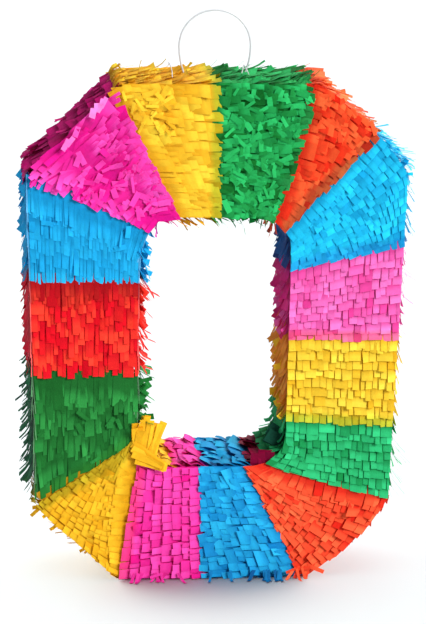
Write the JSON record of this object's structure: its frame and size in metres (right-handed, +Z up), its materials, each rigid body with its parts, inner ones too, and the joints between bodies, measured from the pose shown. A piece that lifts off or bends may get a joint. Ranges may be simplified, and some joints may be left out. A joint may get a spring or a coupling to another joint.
{
  "type": "pinata",
  "caption": "Hollow cardboard pinata shaped like a zero, covered in bands of fringed tissue paper, with a nylon hanging loop and a fill flap in its back.",
  "frame": {"origin": "on the floor, under the middle of the ring", "axes": "+Z up, +Y from the front face to the back, +X to the viewer's right"},
  "size_m": [0.294, 0.076, 0.4513],
  "materials": {
    "cardboard": "matte",
    "pink_tissue": "matte",
    "yellow_tissue": "matte",
    "green_tissue": "matte",
    "orange_tissue": "matte",
    "red_tissue": "matte",
    "blue_tissue": "matte",
    "clear_nylon": "gloss"
  },
  "bodies": {
    "shell": {"front_panel": "cardboard", "back_panel": "cardboard", "outer_wall_bottom": "cardboard", "outer_wall_bottom_right": "cardboard", "outer_wall_right": "cardboard", "outer_wall_top_right": "cardboard", "outer_wall_top": "cardboard", "outer_wall_top_left": "cardboard", "outer_wall_left": "cardboard", "outer_wall_bottom_left": "cardboard", "hole_wall_bottom": "cardboard", "hole_wall_bottom_right": "cardboard", "hole_wall_right": "cardboard", "hole_wall_top_right": "cardboard", "hole_wall_top": "cardboard", "hole_wall_top_left": "cardboard", "hole_wall_left": "cardboard", "hole_wall_bottom_left": "cardboard", "tissue_yellow_top": "yellow_tissue", "tissue_green_top": "green_tissue", "tissue_orange_top_right": "orange_tissue", "tissue_blue_upper_right": "blue_tissue", "tissue_pink_right": "pink_tissue", "tissue_yellow_right": "yellow_tissue", "tissue_green_right": "green_tissue", "tissue_orange_bottom_right": "orange_tissue", "tissue_blue_bottom": "blue_tissue", "tissue_pink_bottom": "pink_tissue", "tissue_yellow_bottom_left": "yellow_tissue", "tissue_green_lower_left": "green_tissue", "tissue_red_left": "red_tissue", "tissue_blue_upper_left": "blue_tissue", "tissue_pink_top_left": "pink_tissue", "foot_tissue_blue": "blue_tissue", "foot_tissue_pink": "pink_tissue", "loop_tie": "clear_nylon"},
    "fill_flap": {"fill_flap": "cardboard", "flap_tissue_yellow": "yellow_tissue", "flap_tissue_green": "green_tissue"},
    "hanging_loop": {"hanging_loop": "clear_nylon"}
  },
  "joints": [
    {"name": "flap_hinge", "type": "hinge", "parent": "shell", "child": "fill_flap", "pos_m": [0, 0.03385, 0.376], "axis": [1, 0, 0], "range_deg": [0, 100]},
    {"name": "loop_hinge", "type": "hinge", "parent": "shell", "child": "hanging_loop", "pos_m": [0, 0, 0.4008], "axis": [1, 0, 0], "range_deg": [-75, 75]}
  ]
}
